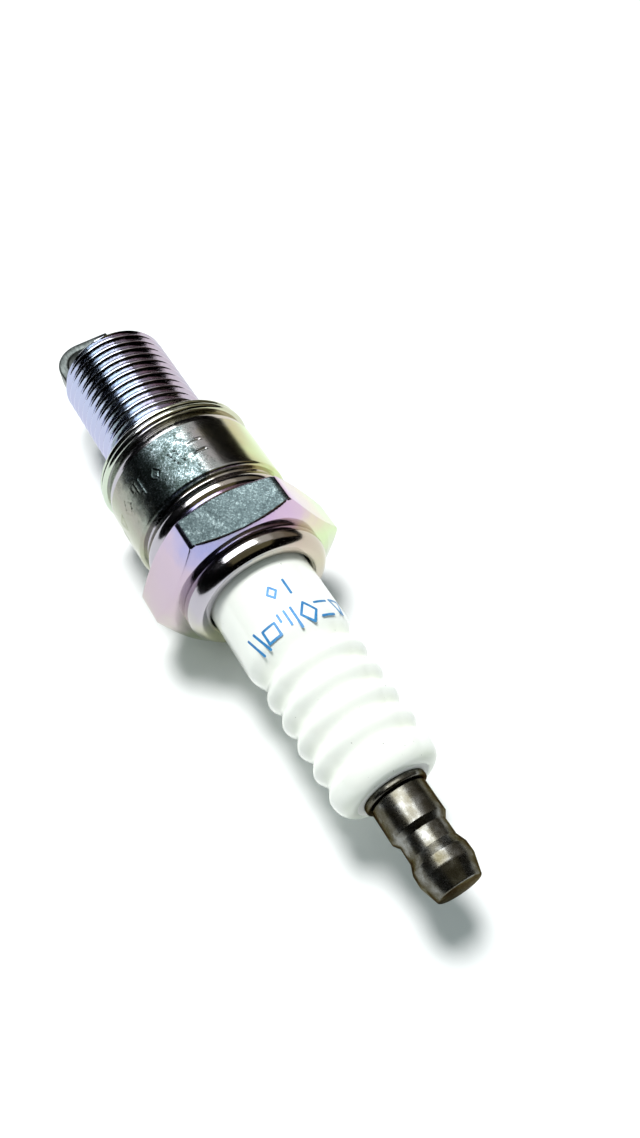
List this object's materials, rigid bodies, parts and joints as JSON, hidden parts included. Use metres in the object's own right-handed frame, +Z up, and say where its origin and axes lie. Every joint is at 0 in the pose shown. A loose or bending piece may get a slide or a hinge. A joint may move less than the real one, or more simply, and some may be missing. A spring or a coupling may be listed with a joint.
{
  "type": "spark plug",
  "caption": "Ignition plug: hexagonal plated steel shell with mounting thread and crush gasket, ribbed white ceramic insulator, screw-on terminal nut and a bent ground electrode over the gap.",
  "frame": {"origin": "middle of the base: half way along the plug, on the surface its lowest hexagon flat lies on", "axes": "+X along the plug's axis towards the terminal, so the thread and the ground electrode point to -X; +Z up, square to the upper hexagon flat; +Y across, away from the ground electrode's leg"},
  "size_m": [0.0846, 0.024, 0.0208],
  "materials": {
    "plated_steel": "bright zinc plate with a faint pink and yellow-green passivation film",
    "gasket_steel": "plated sheet steel, folded",
    "glazed_alumina": "clear gloss glaze on the head, fired matt alumina at the nose",
    "terminal_metal": "satin dark bronze-brown nickel plate",
    "nickel_alloy": "bare drawn nickel alloy",
    "copper": "extruded copper",
    "conductive_glass": "fused copper and glass powder, opaque",
    "resistor_ceramic": "carbon and glass composite, matt",
    "packing_wire": "plain steel",
    "talc": "pressed powder"
  },
  "bodies": {
    "plug": {"metal_shell": "plated_steel", "insulator": "glazed_alumina", "terminal_stud": "terminal_metal", "upper_glass_seal": "conductive_glass", "resistor_element": "resistor_ceramic", "lower_glass_seal": "conductive_glass", "centre_electrode": "nickel_alloy", "centre_electrode_core": "copper", "ground_electrode": "nickel_alloy", "lower_packing_ring": "packing_wire", "talc_packing": "talc", "upper_packing_ring": "packing_wire", "seat_packing_washer": "packing_wire"},
    "gasket_ring": {"gasket": "gasket_steel"},
    "nut": {"terminal_nut": "terminal_metal"}
  },
  "joints": [
    {"name": "nut_unscrew", "type": "slide", "parent": "plug", "child": "nut", "axis": [1, 0, 0], "range_m": [0, 0.009]},
    {"name": "gasket_float", "type": "slide", "parent": "plug", "child": "gasket_ring", "axis": [-1, 0, 0], "range_m": [0, 0.00045]}
  ]
}
